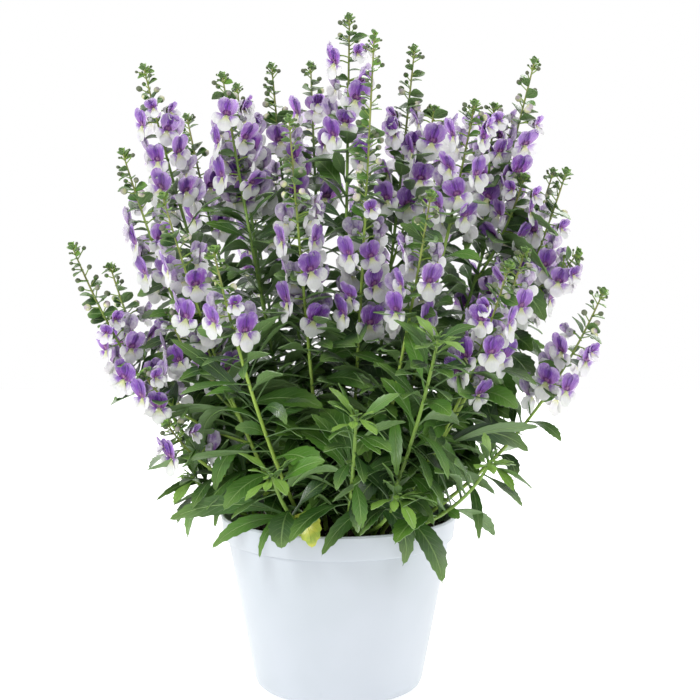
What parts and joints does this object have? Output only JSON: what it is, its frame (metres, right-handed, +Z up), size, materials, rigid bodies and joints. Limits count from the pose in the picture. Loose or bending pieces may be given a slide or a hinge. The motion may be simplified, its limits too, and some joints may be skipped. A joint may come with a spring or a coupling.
{
  "type": "potted flowering plant",
  "caption": "Bushy potted angelonia: upright racemes of two-lipped purple and white florets over toothed green leaves, in a round tapered plastic pot.",
  "frame": {"origin": "middle of the pot's flat underside", "axes": "+Z up along the pot's axis, -Y towards the plant's front as pictured, +X to the viewer's right"},
  "size_m": [0.34, 0.2737, 0.4343],
  "materials": {
    "pot_plastic": "satin, moulded",
    "soil": "crumbly, damp, matt",
    "stem_green": "leaf green, slightly waxy",
    "raceme": "soft petals, matt",
    "shoot_green": "young leaf green"
  },
  "bodies": {
    "root": {"pot": "pot_plastic", "raceme_01": "raceme", "raceme_02": "raceme", "raceme_03": "raceme", "raceme_04": "raceme", "raceme_05": "raceme", "raceme_06": "raceme", "raceme_07": "raceme", "raceme_08": "raceme", "raceme_09": "raceme", "raceme_10": "raceme", "raceme_11": "raceme", "raceme_12": "raceme", "raceme_13": "raceme", "raceme_14": "raceme", "raceme_15": "raceme", "raceme_16": "raceme", "raceme_17": "raceme", "raceme_18": "raceme", "raceme_19": "raceme", "raceme_20": "raceme", "raceme_21": "raceme", "raceme_22": "raceme", "raceme_23": "raceme", "raceme_24": "raceme", "raceme_25": "raceme", "raceme_26": "raceme", "raceme_27": "raceme", "raceme_28": "raceme", "shoot_01": "shoot_green", "shoot_02": "shoot_green", "shoot_03": "shoot_green", "shoot_04": "shoot_green", "shoot_05": "shoot_green", "shoot_06": "shoot_green", "soil": "soil", "stem_01": "stem_green", "stem_03": "stem_green", "stem_04": "stem_green", "stem_05": "stem_green", "stem_06": "stem_green", "stem_08": "stem_green", "stem_09": "stem_green", "stem_10": "stem_green", "stem_11": "stem_green", "stem_12": "stem_green", "stem_13": "stem_green", "stem_14": "stem_green", "stem_15": "stem_green", "stem_16": "stem_green", "stem_17": "stem_green", "stem_19": "stem_green", "stem_20": "stem_green", "stem_22": "stem_green", "stem_23": "stem_green", "stem_25": "stem_green", "stem_26": "stem_green", "stem_27": "stem_green", "stem_28": "stem_green"}
  },
  "joints": []
}
